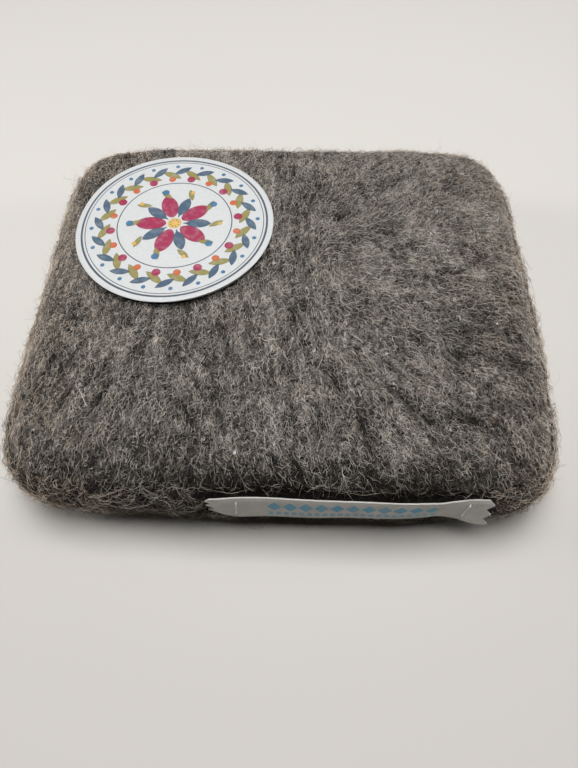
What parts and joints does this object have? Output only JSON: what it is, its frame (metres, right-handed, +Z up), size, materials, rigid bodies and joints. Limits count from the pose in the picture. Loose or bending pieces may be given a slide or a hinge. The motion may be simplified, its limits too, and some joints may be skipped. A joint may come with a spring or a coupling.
{
  "type": "needle felting mat",
  "caption": "Thick felted wool block with rounded edges that takes the needle's stabs in needle felting, with a round sticker on its work face and a sewn tape label.",
  "frame": {"origin": "centre of the part's box, on the surface that the mat lies on", "axes": "+X along the front side to the right, +Y to the back, +Z up out of the work face"},
  "size_m": [0.175, 0.151, 0.0356],
  "materials": {
    "wool_base": "matt needled wool, grey-brown",
    "wool_edge": "matt needled wool, grey-brown",
    "wool_top": "matt needled wool, mottled grey-brown",
    "wool_core_dark": "matt carded wool",
    "wool_core_light": "matt carded wool",
    "adhesive": "tacky film",
    "sticker_paper": "satin white paper with a printed pattern",
    "tape": "matt woven tape, off-white",
    "thread": "spun sewing thread, white"
  },
  "bodies": {
    "root": {"base_skin": "wool_base", "edge_wrap": "wool_edge", "top_skin": "wool_top", "core_batt_1": "wool_core_dark", "core_batt_2": "wool_core_light", "core_batt_3": "wool_core_dark", "core_batt_4": "wool_core_light", "core_batt_5": "wool_core_dark", "core_batt_6": "wool_core_light", "sticker_adhesive": "adhesive", "sticker_face": "sticker_paper", "label_tape": "tape", "stitch_left": "thread", "stitch_right": "thread"}
  },
  "joints": []
}
